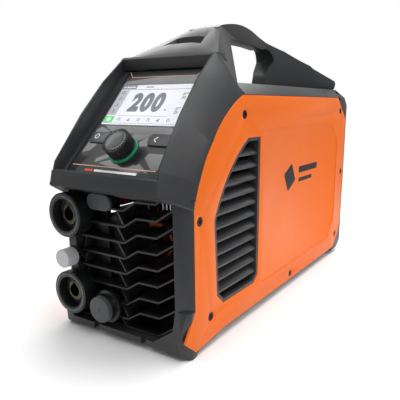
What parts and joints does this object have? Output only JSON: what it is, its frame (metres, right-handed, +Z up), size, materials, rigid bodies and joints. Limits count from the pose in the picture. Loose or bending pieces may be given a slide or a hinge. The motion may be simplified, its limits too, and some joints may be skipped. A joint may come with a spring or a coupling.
{
  "type": "tig welding machine",
  "caption": "Portable inverter TIG welding machine with orange side covers, slanted control hood with screen and knob, socketed front grille and top carry handle.",
  "frame": {"origin": "centre of the bottom of the bounding box, on the surface the rubber feet stand on", "axes": "-Y is the front with the sockets and the control panel, +X is to the right of a person facing the front, +Z is up"},
  "size_m": [0.1664, 0.473, 0.325],
  "materials": {
    "cover_orange": "semi-gloss powder coat",
    "casing_grey": "fine-grained moulded plastic",
    "vent_grey": "fine-grained moulded plastic",
    "grille_black": "matte moulded plastic",
    "panel_gloss": "high-gloss black-grey sheet",
    "display_lens": "clear hard-coated window",
    "lcd_module": "lit screen surface",
    "knob_rubber": "fluted soft-touch",
    "knob_cap": "polished disc",
    "light_ring": "translucent",
    "home_key": "satin key",
    "back_key": "satin key",
    "seal_rubber": "soft",
    "zinc_steel": "zinc plated",
    "zinc_sheet": "zinc plated sheet",
    "dark_steel": "black oxide",
    "inner_black": "moulded",
    "circuit_board": "solder mask",
    "socket_black": "glass-filled nylon",
    "socket_ring": "moulded ring",
    "brass": "turned",
    "copper": "copper",
    "gas_cap_grey": "soft vinyl",
    "cap_grey": "moulded rubber",
    "hose_rubber": "smooth hose",
    "foot_rubber": "moulded",
    "fan_black": "glass-filled plastic",
    "guard_black": "moulded guard",
    "switch_black": "moulded",
    "rocker_black": "polished rocker",
    "gland_nylon": "nylon",
    "heat_sink_aluminium": "extruded",
    "capacitor_sleeve": "shrink sleeve",
    "ferrite": "sintered"
  },
  "bodies": {
    "chassis": {"arc_start_coil": "copper", "base_tray": "zinc_sheet", "board_spacers": "brass", "bus_capacitors": "capacitor_sleeve", "cable_gland_body": "gland_nylon", "cable_gland_nuts": "gland_nylon", "carry_handle": "casing_grey", "chassis_screws": "zinc_steel", "coil_mounts": "seal_rubber", "control_board": "circuit_board", "control_hood": "casing_grey", "control_panel": "panel_gloss", "display_lens": "display_lens", "encoder_body": "zinc_steel", "fan_frame": "fan_black", "fan_guard": "guard_black", "fan_screws": "dark_steel", "front_casing": "casing_grey", "front_grille": "grille_black", "gas_hoses": "hose_rubber", "gas_inlet_fitting": "brass", "gas_outlet_fitting": "brass", "gas_valve_body": "brass", "gas_valve_coil": "inner_black", "heat_sinks": "heat_sink_aluminium", "knob_light_ring": "light_ring", "lcd_module": "lcd_module", "output_choke": "copper", "panel_gasket": "seal_rubber", "power_board": "circuit_board", "power_devices": "inner_black", "power_switch_body": "switch_black", "rear_casing": "casing_grey", "remote_socket_body": "socket_black", "rubber_feet": "foot_rubber", "service_port": "socket_black", "side_cover_left": "cover_orange", "side_cover_right": "cover_orange", "side_cover_screws": "dark_steel", "side_vent_left": "vent_grey", "side_vent_right": "vent_grey", "socket_busbars": "copper", "socket_housings": "socket_black", "socket_inserts": "brass", "socket_trim_rings": "socket_ring", "top_cover": "casing_grey", "transformer_core": "ferrite", "transformer_winding": "copper"},
    "encoder_rotor": {"encoder_wheel": "inner_black"},
    "control_knob": {"control_knob": "knob_rubber", "knob_cap": "knob_cap", "encoder_shaft": "zinc_steel"},
    "home_button": {"home_button": "home_key"},
    "back_button": {"back_button": "back_key"},
    "fan_rotor": {"fan_rotor": "fan_black"},
    "power_rocker": {"power_switch_rocker": "rocker_black"},
    "gas_outlet_cap": {"gas_outlet_cap": "gas_cap_grey"},
    "remote_socket_cap": {"remote_socket_cap": "cap_grey"},
    "service_port_cover": {"service_port_cover": "cap_grey"},
    "valve_plunger": {"gas_valve_plunger": "zinc_steel"}
  },
  "joints": [
    {"name": "knob_spin", "type": "hinge", "parent": "chassis", "child": "encoder_rotor", "pos_m": [0.003, -0.20514, 0.18995], "axis": [0, -0.7314, 0.682], "continuous": true},
    {"name": "knob_press", "type": "slide", "parent": "encoder_rotor", "child": "control_knob", "axis": [0, 0.7314, -0.682], "range_m": [0, 0.0005], "stiffness_N_per_m": 3000, "springref_m": -0.0005},
    {"name": "home_press", "type": "slide", "parent": "chassis", "child": "home_button", "axis": [0, 0.7314, -0.682], "range_m": [0, 0.0007], "stiffness_N_per_m": 1500, "springref_m": -0.0005},
    {"name": "back_press", "type": "slide", "parent": "chassis", "child": "back_button", "axis": [0, 0.7314, -0.682], "range_m": [0, 0.0007], "stiffness_N_per_m": 1500, "springref_m": -0.0005},
    {"name": "fan_spin", "type": "hinge", "parent": "chassis", "child": "fan_rotor", "pos_m": [0, 0.1875, 0.135], "axis": [0, 1, 0], "continuous": true},
    {"name": "rocker_tilt", "type": "hinge", "parent": "chassis", "child": "power_rocker", "pos_m": [0, 0.2075, 0.208], "axis": [1, 0, 0], "range_deg": [0, 22]},
    {"name": "gas_cap_pull", "type": "slide", "parent": "chassis", "child": "gas_outlet_cap", "axis": [0, -1, 0], "range_m": [0, 0.02]},
    {"name": "remote_cap_pull", "type": "slide", "parent": "chassis", "child": "remote_socket_cap", "axis": [0, -1, 0], "range_m": [0, 0.012]},
    {"name": "port_cover_pull", "type": "slide", "parent": "chassis", "child": "service_port_cover", "axis": [0, -1, 0], "range_m": [0, 0.009]},
    {"name": "valve_lift", "type": "slide", "parent": "chassis", "child": "valve_plunger", "axis": [0, 0, 1], "range_m": [0, 0.003], "stiffness_N_per_m": 150, "springref_m": -0.003}
  ]
}
